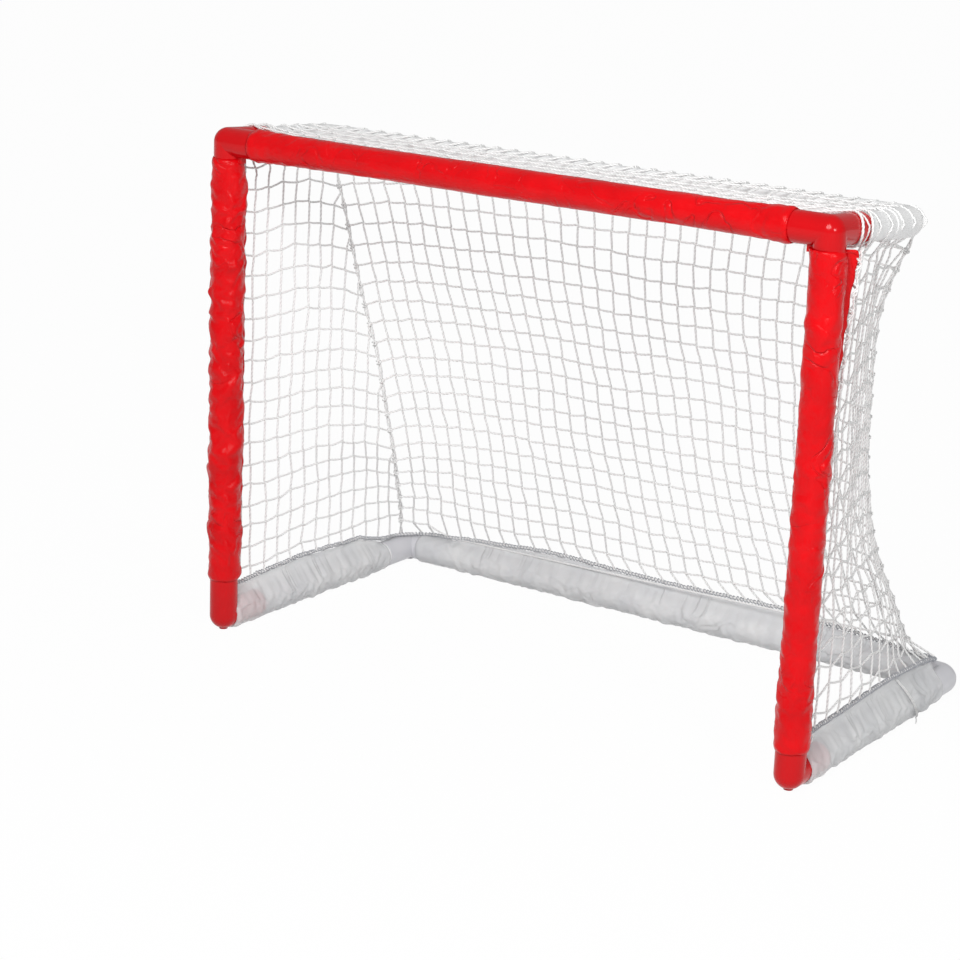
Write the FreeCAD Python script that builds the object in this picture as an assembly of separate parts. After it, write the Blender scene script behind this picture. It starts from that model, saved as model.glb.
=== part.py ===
"""A small hockey goal: push-together plastic tubes, fabric sleeves and a cord net.

Millimetres. X runs along the crossbar, Y from the mouth to the rear, Z up.
The origin is on the floor, at the middle of the goal's outline.
"""

import FreeCAD, Part
import math
import os

from FreeCAD import Vector

# Frame, measured between tube axes
post_spacing = 740.0
crossbar_height = 565.0
base_depth = 362.0
top_depth = 172.0
rear_top_drop = 12.0

# Tubes and the inner couplers of the long bars
tube_od = 30.0
tube_wall = 1.8
coupler_half_length = 32.0
collar_width = 4.0

# Moulded fittings
fitting_od = 32.0
fitting_wall = 3.4
arm_length = 58.0
spigot_length = 28.0
spigot_wall = 2.2
spigot_lead = 1.5
push_clearance = 0.15
bore_taper = 5.0
cut_past = 1.0
rear_bend_radius = 8.0
web_size = 6.0
web_thickness = 8.0
foot_pad_diameter = 10.0
foot_pad_rise = 0.8

# Red sleeves on the posts and the crossbar, where the crossbar's is taut
sleeve_clearance = 0.3
red_sleeve_od = 36.0
post_sleeve_hem = {-1: 61.0, 1: 42.0}
post_sleeve_top_gap = 1.0
crossbar_sleeve_wall = 0.5
crossbar_sleeve_inset = 38.0
crossbar_flap_reach = 3.5
seam_flap_width = 10.0
seam_flap_thickness = 2.4
post_flap_angle = 60.0

# White sleeves on the base
white_sleeve_wall = 0.5
white_sleeve_crown = 22.0
hem_flap_top = 46.0
side_sleeve_front = 17.0
side_sleeve_rear = 40.0
rear_sleeve_inset = 20.0

# Net and its cords
net_thickness = 2.6
strand_width = 3.0
rear_columns, rear_rows = 20, 14
side_columns, side_rows = 8, 14
top_columns, top_rows = 20, 4
seam_fraction = 0.6
seam_pull_in = 45.0
seam_pull_forward = 53.0
seam_top_angle = 60.0
seam_foot_inset = 4.0
rear_belly = 38.0
rear_fold_share = 0.8
rear_edge_columns = 2
lacing_diameter = 5.0
edge_cord_diameter = 4.0
cord_gap = 0.3
tie_diameter = 2.8
tie_places = (30.0, 54.0)
drawcord_diameter = 2.0
drawcord_from_rear = 105.0
drawcord_angles = (45.0, 91.0, 137.0)
foot_tie_diameter = 2.0
foot_tie_loop = 10.0

# Derived sizes
half_width = post_spacing / 2
tube_r = tube_od / 2
fitting_r = fitting_od / 2
spigot_r = tube_r - tube_wall - push_clearance
spigot_bore_r = spigot_r - spigot_wall
arm_bore_r = fitting_r - fitting_wall
base_z = fitting_r + foot_pad_rise
rear_top_z = crossbar_height - rear_top_drop
red_sleeve_r = red_sleeve_od / 2
sleeve_bore_r = fitting_r + sleeve_clearance
crossbar_sleeve_r = sleeve_bore_r + crossbar_sleeve_wall
white_sleeve_r = sleeve_bore_r + white_sleeve_wall

X, Y, Z = Vector(1, 0, 0), Vector(0, 1, 0), Vector(0, 0, 1)
SIDES = {"left": -1, "right": 1}


def front_top(side):
    return Vector(side * half_width, 0, crossbar_height)


def front_foot(side):
    return Vector(side * half_width, 0, base_z)


def rear_top(side):
    return Vector(side * half_width, top_depth, rear_top_z)


def rear_foot(side):
    return Vector(side * half_width, base_depth, base_z)


def unit(vector):
    return vector / vector.Length


top_run = unit(rear_top(1) - front_top(1))


def rod(start, direction, radius, length):
    return Part.makeCylinder(radius, length, start, direction)


def pipe(start, end, outer, inner):
    """A straight hollow tube between two points."""
    run = end - start
    return rod(start, run, outer, run.Length).cut(rod(start, run, inner, run.Length))


def arm_outside(corner, direction, begin=0.0):
    """A fitting's arm with its reduced spigot and the spigot's lead-in cone."""
    shoulder = corner + direction * arm_length
    tip = shoulder + direction * (spigot_length - spigot_lead)
    return [
        rod(corner + direction * begin, direction, fitting_r, arm_length - begin),
        rod(shoulder, direction, spigot_r, spigot_length - spigot_lead),
        Part.makeCone(spigot_r, spigot_r - spigot_lead / 2, spigot_lead, tip, direction),
    ]


def arm_inside(corner, direction, begin=0.0):
    """The bore of an arm, which narrows to the spigot's bore at the shoulder."""
    wide_end = arm_length - bore_taper
    taper_start = corner + direction * wide_end
    narrow_length = bore_taper + spigot_length + cut_past
    return [
        rod(corner + direction * begin, direction, arm_bore_r, wide_end - begin),
        Part.makeCone(arm_bore_r, spigot_bore_r, bore_taper, taper_start, direction),
        rod(taper_start, direction, spigot_bore_r, narrow_length),
    ]


def fuse_all(shapes):
    return shapes[0].multiFuse(shapes[1:])


def foot_pad(x, y):
    """The moulded pad that a floor elbow stands on."""
    return Part.makeCylinder(foot_pad_diameter / 2, base_z, Vector(x, y, 0))


def ball_fitting(corner, directions, extras=()):
    """A corner whose straight arms meet in a round ball."""
    outside = [Part.makeSphere(fitting_r, corner)]
    inside = [Part.makeSphere(arm_bore_r, corner)]
    for direction in directions:
        outside += arm_outside(corner, direction)
        inside += arm_inside(corner, direction)
    return fuse_all(outside + list(extras)).cut(fuse_all(inside)).removeSplitter()


def swept_elbow(corner, first, second, extras=()):
    """A corner whose two arms run into a tight quarter bend, with a crease inside it.

    The bend is tighter than the tube is thick, so only the part of the section
    outside the turning axis is swept.
    """
    centre = corner + (first + second) * rear_bend_radius
    start = corner + first * rear_bend_radius
    axis = second.cross(first)

    def bend(radius):
        half_chord = axis * math.sqrt(radius**2 - rear_bend_radius**2)
        arc = Part.Arc(centre - half_chord, start - second * radius, centre + half_chord)
        chord = Part.makeLine(centre + half_chord, centre - half_chord)
        section = Part.Face(Part.Wire([arc.toShape(), chord]))
        return section.revolve(centre, axis, 90)

    outside = [bend(fitting_r)]
    inside = [bend(arm_bore_r)]
    for direction in (first, second):
        outside += arm_outside(corner, direction, rear_bend_radius)
        inside += arm_inside(corner, direction, rear_bend_radius)
    return fuse_all(outside + list(extras)).cut(fuse_all(inside)).removeSplitter()


def corner_web(side):
    """The square web in the angle between the crossbar arm and the post arm."""
    reach = fitting_r + web_size
    corner = front_top(side)
    left = min(0, -side * reach)
    return Part.makeBox(
        reach, web_thickness, reach, corner + Vector(left, -web_thickness / 2, -reach)
    )


def top_corner(side):
    corner = front_top(side)
    return ball_fitting(corner, [X * -side, Z * -1, top_run], [corner_web(side)])


def foot_elbow(side):
    corner = front_foot(side)
    return ball_fitting(corner, [Z, Y], [foot_pad(corner.x, corner.y)])


def rear_top_elbow(side):
    return swept_elbow(rear_top(side), X * -side, top_run * -1)


def rear_base_elbow(side):
    corner = rear_foot(side)
    shift = rear_bend_radius * (1 - math.sqrt(0.5))
    pad = foot_pad(corner.x - side * shift, corner.y - shift)
    return swept_elbow(corner, X * -side, Y * -1, [pad])


def frame_tube(start, end):
    """A tube between two fittings' shoulders."""
    run = unit(end - start)
    return pipe(start + run * arm_length, end - run * arm_length, tube_r, tube_r - tube_wall)


def half_bar(centre, side):
    """One half of a long bar, from its fitting's shoulder to the coupler's collar."""
    outer_end = centre + X * side * (half_width - arm_length)
    inner_end = centre + X * side * (collar_width / 2)
    return pipe(inner_end, outer_end, tube_r, tube_r - tube_wall)


def coupler(centre):
    """The inner sleeve of a bar's two halves, with a collar flush with the tubes."""
    start = centre - X * coupler_half_length
    body = rod(start, X, spigot_r, 2 * coupler_half_length)
    collar = rod(centre - X * (collar_width / 2), X, tube_r, collar_width)
    bore = rod(start, X, spigot_bore_r, 2 * coupler_half_length)
    return body.fuse(collar).cut(bore).removeSplitter()


def post_flap_direction(side):
    angle = math.radians(post_flap_angle)
    return Vector(side * math.cos(angle), math.sin(angle), 0)


def post_sleeve_height(side):
    return crossbar_height - fitting_r - post_sleeve_top_gap - post_sleeve_hem[side]


def post_sleeve(side):
    """A loose fabric tube with the seam flap that the side net is sewn to."""
    height = post_sleeve_height(side)
    axis = Vector(side * half_width, 0, post_sleeve_hem[side])
    reach = red_sleeve_r + seam_flap_width
    flap = Part.makeBox(reach, seam_flap_thickness, height, Vector(0, -seam_flap_thickness / 2, 0))
    turn = post_flap_angle if side > 0 else 180 - post_flap_angle
    flap.rotate(Vector(0, 0, 0), Z, turn)
    flap.translate(axis)
    cloth = rod(axis, Z, red_sleeve_r, height).fuse(flap)
    return cloth.cut(rod(axis, Z, sleeve_bore_r, height)).removeSplitter()


def crossbar_sleeve():
    """A loose fabric tube with a flap along its top, behind the crossbar."""
    start = Vector(-half_width + crossbar_sleeve_inset, 0, crossbar_height)
    length = post_spacing - 2 * crossbar_sleeve_inset
    flap = Part.makeBox(
        length,
        crossbar_flap_edge(),
        seam_flap_thickness,
        start + Z * (crossbar_sleeve_r - seam_flap_thickness),
    )
    cloth = rod(start, X, crossbar_sleeve_r, length).fuse(flap)
    return cloth.cut(rod(start, X, sleeve_bore_r, length)).removeSplitter()


def crossbar_flap_edge():
    return crossbar_sleeve_r + crossbar_flap_reach


def base_sleeve(start, run, length):
    """A loose sleeve that is drawn up into a standing hem flap above the tube."""
    across = Vector(-run.y, run.x, 0)
    tangent = math.acos(white_sleeve_r / (white_sleeve_crown + seam_flap_thickness))
    low = (white_sleeve_r * math.sin(tangent), white_sleeve_r * math.cos(tangent))
    edge = seam_flap_thickness / 2
    outline = [
        (low[0], low[1]),
        (edge, white_sleeve_crown),
        (edge, hem_flap_top - base_z),
        (-edge, hem_flap_top - base_z),
        (-edge, white_sleeve_crown),
        (-low[0], low[1]),
    ]
    corners = [start + across * u + Z * w for u, w in outline]
    crown = Part.Face(Part.makePolygon(corners + corners[:1])).extrude(run * length)
    cloth = rod(start, run, white_sleeve_r, length).fuse(crown)
    return cloth.cut(rod(start, run, sleeve_bore_r, length)).removeSplitter()


def side_base_sleeve(side):
    start = front_foot(side) + Y * side_sleeve_front
    return base_sleeve(start, Y, base_depth - side_sleeve_front - side_sleeve_rear)


def rear_base_sleeve():
    start = rear_foot(-1) + X * rear_sleeve_inset
    return base_sleeve(start, X, post_spacing - 2 * rear_sleeve_inset)


def seam_points(side):
    """Top, waist and foot of the corner where the rear and side nets meet.

    The top hangs under the rear top elbow's bend, outside its centre line.
    """
    reach = fitting_r + lacing_diameter / 2 + cord_gap
    angle = math.radians(seam_top_angle)
    outward = (rear_bend_radius + reach * math.cos(angle)) * math.sqrt(0.5) - rear_bend_radius
    top = rear_top(side) + Vector(side * outward, outward, -reach * math.sin(angle))
    foot = Vector(side * (half_width - seam_foot_inset), base_depth, hem_flap_top + cord_gap)
    waist = top + (foot - top) * seam_fraction
    waist = waist + Vector(-side * seam_pull_in, -seam_pull_forward, 0)
    return top, waist, foot


def seam_arc(side, shift=Vector(0, 0, 0)):
    return Part.Arc(*[point + shift for point in seam_points(side)])


def cord_along(arc, diameter):
    """A round cord swept along an arc."""
    start = arc.value(arc.FirstParameter)
    direction = arc.tangent(arc.FirstParameter)[0]
    ring = Part.Wire(Part.makeCircle(diameter / 2, start, direction))
    return Part.Wire(arc.toShape()).makePipeShell([ring], True, False)


def post_cord_axis(side):
    """Plan position of the cord along a post flap's outer edge."""
    reach = red_sleeve_r + seam_flap_width + edge_cord_diameter / 2
    return Vector(side * half_width, 0, 0) + post_flap_direction(side) * reach


def post_edge_cord(side):
    start = post_cord_axis(side) + Z * post_sleeve_hem[side]
    return rod(start, Z, edge_cord_diameter / 2, post_sleeve_height(side))


def crossbar_edge_cord():
    start = Vector(
        -half_width + crossbar_sleeve_inset,
        crossbar_flap_edge() + edge_cord_diameter / 2,
        crossbar_height + crossbar_sleeve_r - seam_flap_thickness / 2,
    )
    length = post_spacing - 2 * crossbar_sleeve_inset
    return rod(start, X, edge_cord_diameter / 2, length)


def corner_ties(side):
    """The edge cords' loops round the rear arm of a top corner."""
    radius = fitting_r + tie_diameter / 2 + cord_gap / 2
    rings = [
        Part.makeTorus(radius, tie_diameter / 2, front_top(side) + top_run * place, top_run)
        for place in tie_places
    ]
    return Part.makeCompound(rings)


def base_drawcord(side):
    """The cord across a side sleeve's outer side, from below the hem flap to the floor."""
    radius = white_sleeve_r + drawcord_diameter / 2 + cord_gap
    centre = Vector(side * half_width, base_depth - drawcord_from_rear, base_z)
    points = []
    for degrees in drawcord_angles:
        angle = math.radians(degrees)
        points.append(centre + (X * side * math.sin(angle) + Z * math.cos(angle)) * radius)
    return cord_along(Part.Arc(*points), drawcord_diameter)


def foot_tie(side):
    """The curled end of a drawcord, against the hem flap at a side sleeve's mouth."""
    offset = (seam_flap_thickness + foot_tie_diameter) / 2 + cord_gap
    centre = Vector(
        side * (half_width + offset),
        side_sleeve_front + foot_tie_loop,
        hem_flap_top,
    )
    return Part.makeTorus(foot_tie_loop / 2, foot_tie_diameter / 2, centre, X)


def between(first, second, share):
    return first + (second - first) * share


def net_cells(edge_a, edge_b, columns, rows):
    """Corner points of every mesh on the sheet ruled from edge_a to edge_b.

    Each edge is a function from 0 to 1 that gives a point. Rows follow the edges
    and columns run along the rulings, with half a strand left on every side.
    """
    cells = []
    for row in range(rows):
        for column in range(columns):
            corners = []
            for r, c in ((row, column), (row + 1, column), (row + 1, column + 1), (row, column + 1)):
                a, b = edge_a(r / rows), edge_b(r / rows)
                corners.append(between(a, b, c / columns))
            centre = sum(corners, Vector(0, 0, 0)) / 4
            cells.append([shrunk(corner, centre) for corner in corners])
    return cells


def shrunk(corner, centre):
    """A mesh corner drawn in by half a strand along both of its strands."""
    inward = centre - corner
    return corner + inward * (strand_width / math.sqrt(2) / inward.Length)


def holed_face(face, cells, view):
    """The net's face with one hole per mesh, cut along the view direction."""
    reach = post_spacing
    prisms = []
    for cell in cells:
        flat = [point - view * point.dot(view) - view * reach for point in cell]
        outline = Part.Face(Part.makePolygon(flat + flat[:1]))
        prisms.append(outline.extrude(view * 2 * reach))
    return face.cut(Part.makeCompound(prisms))


def arc_edge(arc):
    """A function from 0 to 1 along an arc."""
    span = arc.LastParameter - arc.FirstParameter
    return lambda share: arc.value(arc.FirstParameter + share * span)


def line_edge(start, end):
    return lambda share: between(start, end, share)


def rear_fold(side):
    """The line beside a seam where the rear net, bellied to the rear, turns flat."""
    top, waist, foot = [
        Vector(point.x * rear_fold_share, point.y, point.z) for point in seam_points(side)
    ]
    return Part.Arc(top, waist + Y * rear_belly, foot)


def rear_net():
    """Three panels in one piece: one along each seam and the flat middle."""
    inset = lacing_diameter / 2 + cord_gap
    lines = [
        seam_arc(-1, X * inset),
        rear_fold(-1),
        rear_fold(1),
        seam_arc(1, X * -inset),
    ]
    columns = [rear_edge_columns, rear_columns - 2 * rear_edge_columns, rear_edge_columns]
    panels = []
    for left, right, count in zip(lines, lines[1:], columns):
        face = Part.makeRuledSurface(left.toShape(), right.toShape())
        cells = net_cells(arc_edge(left), arc_edge(right), count, rear_rows)
        panels.append(holed_face(face, cells, Y).extrude(Y * net_thickness))
    return fuse_all(panels).removeSplitter()


def side_net(side):
    inset = lacing_diameter / 2 + cord_gap
    arc = seam_arc(side, Y * -inset)
    front = post_cord_axis(side) + Y * (edge_cord_diameter / 2 + cord_gap)
    low = front + Z * (hem_flap_top + cord_gap)
    high = front + Z * (crossbar_height - fitting_r)
    line = Part.LineSegment(high, low)
    face = Part.makeRuledSurface(line.toShape(), arc.toShape())
    cells = net_cells(line_edge(high, low), arc_edge(arc), side_columns, side_rows)
    return holed_face(face, cells, X).extrude(X * side * net_thickness)


def top_net():
    """The flat panel from the crossbar's edge cord to the rear top bar."""
    left = -half_width + crossbar_sleeve_inset
    right = half_width - crossbar_sleeve_inset
    front_y = crossbar_flap_edge() + edge_cord_diameter + cord_gap
    front_z = crossbar_height + crossbar_sleeve_r - net_thickness
    rear_z = rear_top_z + fitting_r + cord_gap
    corners = [
        Vector(left, front_y, front_z),
        Vector(left, top_depth, rear_z),
        Vector(right, top_depth, rear_z),
        Vector(right, front_y, front_z),
    ]
    cells = net_cells(
        line_edge(corners[0], corners[1]), line_edge(corners[3], corners[2]), top_columns, top_rows
    )
    outlines = [corners] + cells
    wires = [Part.makePolygon(points + points[:1]) for points in outlines]
    face = Part.Face(wires[0]).cut(Part.makeCompound([Part.Face(wire) for wire in wires[1:]]))
    return face.extrude(Z * net_thickness)


def build_nodes():
    nodes = {
        "crossbar_coupler": coupler(Vector(0, 0, crossbar_height)),
        "rear_top_coupler": coupler(Vector(0, top_depth, rear_top_z)),
        "rear_base_coupler": coupler(Vector(0, base_depth, base_z)),
        "crossbar_sleeve": crossbar_sleeve(),
        "rear_base_sleeve": rear_base_sleeve(),
        "crossbar_edge_cord": crossbar_edge_cord(),
        "rear_net": rear_net(),
        "top_net": top_net(),
        "right_foot_tie": foot_tie(1),
    }
    for name, side in SIDES.items():
        nodes[name + "_top_corner"] = top_corner(side)
        nodes[name + "_foot_elbow"] = foot_elbow(side)
        nodes[name + "_rear_top_elbow"] = rear_top_elbow(side)
        nodes[name + "_rear_base_elbow"] = rear_base_elbow(side)
        nodes[name + "_post_tube"] = frame_tube(front_foot(side), front_top(side))
        nodes[name + "_top_side_tube"] = frame_tube(front_top(side), rear_top(side))
        nodes[name + "_base_side_tube"] = frame_tube(front_foot(side), rear_foot(side))
        nodes[name + "_crossbar_tube"] = half_bar(Vector(0, 0, crossbar_height), side)
        nodes[name + "_rear_top_tube"] = half_bar(Vector(0, top_depth, rear_top_z), side)
        nodes[name + "_rear_base_tube"] = half_bar(Vector(0, base_depth, base_z), side)
        nodes[name + "_post_sleeve"] = post_sleeve(side)
        nodes[name + "_base_sleeve"] = side_base_sleeve(side)
        nodes[name + "_side_net"] = side_net(side)
        nodes[name + "_corner_lacing"] = cord_along(seam_arc(side), lacing_diameter)
        nodes[name + "_post_edge_cord"] = post_edge_cord(side)
        nodes[name + "_corner_ties"] = corner_ties(side)
        nodes[name + "_base_drawcord"] = base_drawcord(side)
    return nodes


def main():
    os.makedirs("parts", exist_ok=True)
    to_origin = Vector(0, -(base_depth + white_sleeve_r - red_sleeve_r) / 2, 0)
    for name, shape in build_nodes().items():
        shape.translate(to_origin)
        shape.exportStep(os.path.join("parts", name + ".step"))
        size = shape.BoundBox
        print(
            f"{name:24s} solids {len(shape.Solids)} valid {shape.isValid()} "
            f"volume {shape.Volume:10.0f}  x {size.XMin:7.1f} {size.XMax:7.1f} "
            f"y {size.YMin:6.1f} {size.YMax:6.1f} z {size.ZMin:6.1f} {size.ZMax:6.1f}"
        )


main()
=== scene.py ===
# %% [markdown]
# # A small hockey goal
#
# The real goal is a frame of push-together plastic tubes. Its posts and crossbar wear red
# nylon sleeves, its base wears white ones, and a white cord net is sewn to the seam flaps
# of the sleeves and laced together along the two rear corners.
#
# This lesson dresses the bare frame. The frame is loaded first, because every soft piece
# hangs on a tube and takes its place from that tube.

import math

import bpy
import numpy as np
from mathutils import Matrix, Vector, noise


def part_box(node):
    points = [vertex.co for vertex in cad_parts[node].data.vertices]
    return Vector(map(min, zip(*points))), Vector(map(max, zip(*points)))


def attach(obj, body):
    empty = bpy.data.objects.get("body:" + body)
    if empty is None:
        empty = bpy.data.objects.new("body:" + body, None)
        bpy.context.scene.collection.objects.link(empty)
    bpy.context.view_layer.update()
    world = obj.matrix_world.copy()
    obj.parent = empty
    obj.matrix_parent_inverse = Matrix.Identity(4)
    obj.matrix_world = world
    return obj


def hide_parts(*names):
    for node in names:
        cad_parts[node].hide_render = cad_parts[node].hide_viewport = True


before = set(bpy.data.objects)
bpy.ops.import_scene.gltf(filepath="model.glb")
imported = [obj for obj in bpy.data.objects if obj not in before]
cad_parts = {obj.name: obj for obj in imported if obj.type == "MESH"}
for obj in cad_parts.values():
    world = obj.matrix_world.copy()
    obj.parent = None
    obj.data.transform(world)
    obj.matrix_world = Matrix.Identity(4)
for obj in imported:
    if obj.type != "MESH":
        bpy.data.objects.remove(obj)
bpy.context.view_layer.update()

# Blender draws new offsets for noise_vector in every session unless it is given a seed.
noise_seed = 7
noise.seed_set(noise_seed)
print("nodes in the frame:", len(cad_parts))

# %% [markdown]
# ## Where the tubes are
#
# All places are read from the frame's nodes. X runs along the crossbar, Y from the mouth to
# the rear and Z up, in metres. A left piece is a right piece with its X turned round, so
# most functions take a side of -1 or 1.

# %% Places and sizes of the frame
SIDES = {"left": -1, "right": 1}
X_AXIS, Y_AXIS, Z_AXIS = Vector((1, 0, 0)), Vector((0, 1, 0)), Vector((0, 0, 1))


def middle(node):
    low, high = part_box(node)
    return (Vector(low) + Vector(high)) / 2


post = middle("right_post_tube")
crossbar = middle("right_crossbar_tube")
rear_bar = middle("right_rear_top_tube")
rear_base = middle("right_rear_base_tube")
half_width = post.x
front = post.y
tube_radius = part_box("right_rear_base_tube")[1][2] - rear_base.z
arm_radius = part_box("right_foot_elbow")[1][0] - half_width
top_slope = (rear_bar.z - crossbar.z) / (rear_bar.y - front)

print(f"posts {2 * half_width * 1000:.0f} mm apart, crossbar at {crossbar.z * 1000:.0f} mm")

# %% [markdown]
# ## The camera
#
# A product photograph like this is taken with a long lens from a little above and to the
# right of the goal. The camera could be aimed with a Track To constraint, but the picture is
# also turned by two degrees, so its three axes are worked out from the angles.

# %% Camera
camera_azimuth = math.radians(34.362)
camera_elevation = math.radians(15.847)
camera_roll = math.radians(2.24)
camera_place = Vector((1.434022, -2.30394, 0.976682))
camera_lens = 94.833

back = Vector((
    math.sin(camera_azimuth) * math.cos(camera_elevation),
    -math.cos(camera_azimuth) * math.cos(camera_elevation),
    math.sin(camera_elevation),
))
level = (-back).cross(Z_AXIS).normalized()
upright = level.cross(-back)
turned = level * math.cos(camera_roll) + upright * math.sin(camera_roll)
raised = upright * math.cos(camera_roll) - level * math.sin(camera_roll)

lens = bpy.data.cameras.new("camera")
lens.lens = camera_lens
lens.sensor_width = 36
camera = bpy.data.objects.new("camera", lens)
camera.matrix_world = Matrix.Translation(camera_place) @ Matrix((turned, raised, back)).transposed().to_4x4()
bpy.context.scene.collection.objects.link(camera)
bpy.context.scene.camera = camera
print("camera is", round((camera_place - middle("crossbar_coupler")).length, 2), "m from the crossbar")

# %% [markdown]
# ## Finishes
#
# Each finish is one node material on the Principled shader. Colour varies a little with a
# noise pattern, and fine relief goes through a Bump node. A number that is the same all over
# is typed into the shader's own socket. The node trees further down use the same helpers.

# %% Helpers for nodes
WHITE = (1, 1, 1, 1)


def feed(node, inputs):
    """Gives sockets, by name or number, a value or another node's output."""
    for socket, value in inputs.items():
        if isinstance(value, bpy.types.NodeSocket):
            node.id_data.links.new(value, node.inputs[socket])
        else:
            node.inputs[socket].default_value = value
    return node


def add_node(tree, kind, inputs=None, **settings):
    node = tree.nodes.new(kind)
    for key, value in settings.items():
        setattr(node, key, value)
    return feed(node, inputs or {})


def maths(tree, operation, *values):
    """The result of one Math node."""
    return add_node(tree, "ShaderNodeMath", dict(enumerate(values)), operation=operation).outputs[0]


def new_finish(name):
    material = bpy.data.materials.new(name)
    material.use_nodes = True
    return material, material.node_tree, material.node_tree.nodes["Principled BSDF"]


def speckle(tree, scale, detail=3.0, distortion=0.0, source="Object"):
    """Noise over the object's own coordinates or its UV map, in metres."""
    place = add_node(tree, "ShaderNodeTexCoord").outputs[source]
    inputs = {"Scale": scale, "Detail": detail, "Distortion": distortion, "Vector": place}
    return add_node(tree, "ShaderNodeTexNoise", inputs).outputs["Fac"]


def shades(tree, factor, dark, light, low=0.3, high=0.7):
    ramp = add_node(tree, "ShaderNodeValToRGB", {"Fac": factor})
    for stop, place, colour in zip(ramp.color_ramp.elements, (low, high), (dark, light)):
        stop.position = place
        stop.color = (*colour, 1)
    return ramp.outputs["Color"]


def spread(tree, factor, low, high):
    """Maps a pattern from 0..1 to low..high."""
    inputs = {"To Min": low, "To Max": high, "Value": factor}
    return add_node(tree, "ShaderNodeMapRange", inputs).outputs["Result"]


def relief(tree, heights):
    """Chains Bump nodes: heights are pairs of a pattern and its depth in metres."""
    normal = None
    for pattern, depth in heights:
        inputs = {"Strength": 1.0, "Distance": depth, "Height": pattern}
        if normal:
            inputs["Normal"] = normal
        normal = add_node(tree, "ShaderNodeBump", inputs).outputs["Normal"]
    return normal


def weave(tree, pitch):
    """A plain weave on the cloth's UV map, which is in metres."""
    place = add_node(tree, "ShaderNodeUVMap")
    axes = add_node(tree, "ShaderNodeSeparateXYZ", {"Vector": place.outputs["UV"]})
    waves = [maths(tree, "SINE", maths(tree, "MULTIPLY", axes.outputs[axis], math.pi / pitch))
             for axis in ("X", "Y")]
    return maths(tree, "MULTIPLY", *waves)


# %% Moulded plastic: red corners, white tubes and elbows, with painted shade on the rear elbows
def moulded_plastic(name, dark, light, rough, specular=0.5):
    material, tree, shader = new_finish(name)
    feed(shader, {
        "Base Color": shades(tree, speckle(tree, 18), dark, light),
        "Roughness": spread(tree, speckle(tree, 70), *rough),
        "Normal": relief(tree, [(speckle(tree, 900, 2), 0.00003), (speckle(tree, 45, 1), 0.0002)]),
        "Specular IOR Level": specular,
    })
    return material


red_plastic = moulded_plastic("red_plastic", (0.49, 0.0015, 0.004), (0.59, 0.002, 0.005), (0.14, 0.22), 0.22)
white_plastic = moulded_plastic("white_plastic", (0.77, 0.775, 0.78), (0.83, 0.83, 0.825), (0.3, 0.4))
# The rear base elbows are white plastic; this grey finish is painted shade, darker than the white one.
grey_plastic = moulded_plastic("grey_plastic", (0.6, 0.6, 0.63), (0.68, 0.68, 0.71), (0.3, 0.4))

# %% Nylon: shiny red, and a thin white one that lets the tube show through
weave_pitch, weave_depth = 0.0005, 0.00002
crinkle_scale, crinkle_depth = 130, 0.0005
crease_scale, crease_width, crease_depth = 24, 0.055, 0.001
patch_scale, patch_start, patch_end = 11, 0.38, 0.56
nylon_specular = 0.16


def creases(tree):
    """Narrow valleys where a slow noise crosses its middle value, in patches over the cloth."""
    centred = maths(tree, "SUBTRACT", speckle(tree, crease_scale, 1.5, 1.2, "UV"), 0.5)
    valley = add_node(tree, "ShaderNodeMapRange", {
        "From Max": crease_width, "Value": maths(tree, "ABSOLUTE", centred),
    }, interpolation_type="SMOOTHSTEP")
    patches = add_node(tree, "ShaderNodeMapRange", {
        "From Min": patch_start, "From Max": patch_end, "To Min": 1.0, "To Max": 0.0,
        "Value": speckle(tree, patch_scale, 1, 0.5, "UV"),
    }, interpolation_type="SMOOTHSTEP")
    return maths(tree, "MAXIMUM", valley.outputs["Result"], patches.outputs["Result"])


def nylon(name, dark, light, rough, alpha=1.0):
    material, tree, shader = new_finish(name)
    crinkle = speckle(tree, crinkle_scale, 3, 0.6, "UV")
    feed(shader, {
        "Base Color": shades(tree, speckle(tree, 30, 4), dark, light),
        "Roughness": spread(tree, speckle(tree, 60), *rough),
        "Normal": relief(tree, [(weave(tree, weave_pitch), weave_depth), (crinkle, crinkle_depth),
                                (creases(tree), crease_depth)]),
        "Specular IOR Level": nylon_specular,
        "Alpha": alpha,
    })
    return material


red_nylon = nylon("red_nylon", (0.57, 0.0015, 0.004), (0.69, 0.002, 0.005), (0.18, 0.28))
white_nylon = nylon("white_nylon", (0.78, 0.79, 0.81), (0.88, 0.885, 0.89), (0.3, 0.44), 0.45)

# %% Cord and thread: white, with painted shade in the grooves between its two plies
ply_weight, fibre_weight = 0.75, 0.3


def cord_finish(name, groove, crown):
    material, tree, shader = new_finish(name)
    ply = add_node(tree, "ShaderNodeAttribute", attribute_name="ply").outputs["Fac"]
    fibre = speckle(tree, 700, 2)
    # Painted shade: the colour turns darker towards where the two plies meet, standing in for the shade in
    # the groove.
    both = maths(tree, "MULTIPLY_ADD", ply, ply_weight, maths(tree, "MULTIPLY", fibre, fibre_weight))
    feed(shader, {
        "Base Color": shades(tree, both, groove, crown, 0.1, 0.8),
        "Normal": relief(tree, [(fibre, 0.00008)]),
        "Roughness": 0.8,
        "Specular IOR Level": 0.25,
    })
    return material


# The first colour of each is painted shade for the grooves, the second the cord's own colour.
net_cord = cord_finish("net_cord", (0.5, 0.5, 0.5), (0.9, 0.9, 0.895))
grey_thread = cord_finish("grey_thread", (0.36, 0.37, 0.4), (0.66, 0.67, 0.7))
print("finishes:", len(bpy.data.materials))

# %% [markdown]
# ## Bare plastic keeps the frame's own shape
#
# Tubes, corners and elbows are already right in the frame, so they only get a finish, put
# into the material slots of their objects.

# %% Finish the frame's own pieces
def finish_node(name, material):
    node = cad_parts[name]
    for slot in node.material_slots:
        slot.link = "OBJECT"
        slot.material = material


# The rear base elbows get the white plastic painted grey as shade.
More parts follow.
